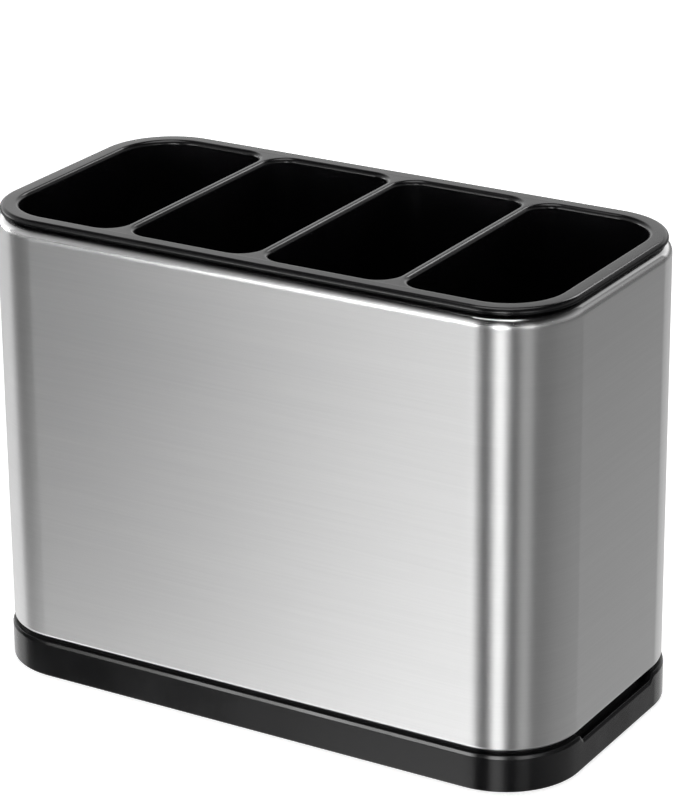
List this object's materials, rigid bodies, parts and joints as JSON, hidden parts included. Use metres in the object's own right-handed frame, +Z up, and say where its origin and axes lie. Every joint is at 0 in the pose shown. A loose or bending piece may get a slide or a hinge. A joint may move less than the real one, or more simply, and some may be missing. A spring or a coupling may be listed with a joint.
{
  "type": "cutlery holder",
  "caption": "Free-standing cutlery holder: rounded brushed steel sleeve on a black drip tray, with a lift-out black insert divided into cups.",
  "frame": {"origin": "middle of the footprint, on the table under the feet", "axes": "+X along the row of cups, +Y from the front to the back, +Z up out of the cups"},
  "size_m": [0.2134, 0.108, 0.1614],
  "materials": {
    "brushed_steel": "stainless sheet brushed round the sleeve",
    "black_plastic": "black moulded plastic with a satin gloss",
    "foot_rubber": "matt dark rubber pads"
  },
  "bodies": {
    "base": {"base_tray": "black_plastic", "foot_front_left": "foot_rubber", "foot_front_right": "foot_rubber", "foot_back_left": "foot_rubber", "foot_back_right": "foot_rubber"},
    "sleeve": {"steel_sleeve": "brushed_steel"},
    "insert": {"divided_insert": "black_plastic"}
  },
  "joints": [
    {"name": "sleeve_lift", "type": "slide", "parent": "base", "child": "sleeve", "axis": [0, 0, 1], "range_m": [0, 0.04]},
    {"name": "insert_lift", "type": "slide", "parent": "sleeve", "child": "insert", "axis": [0, 0, 1], "range_m": [0, 0.15]}
  ]
}
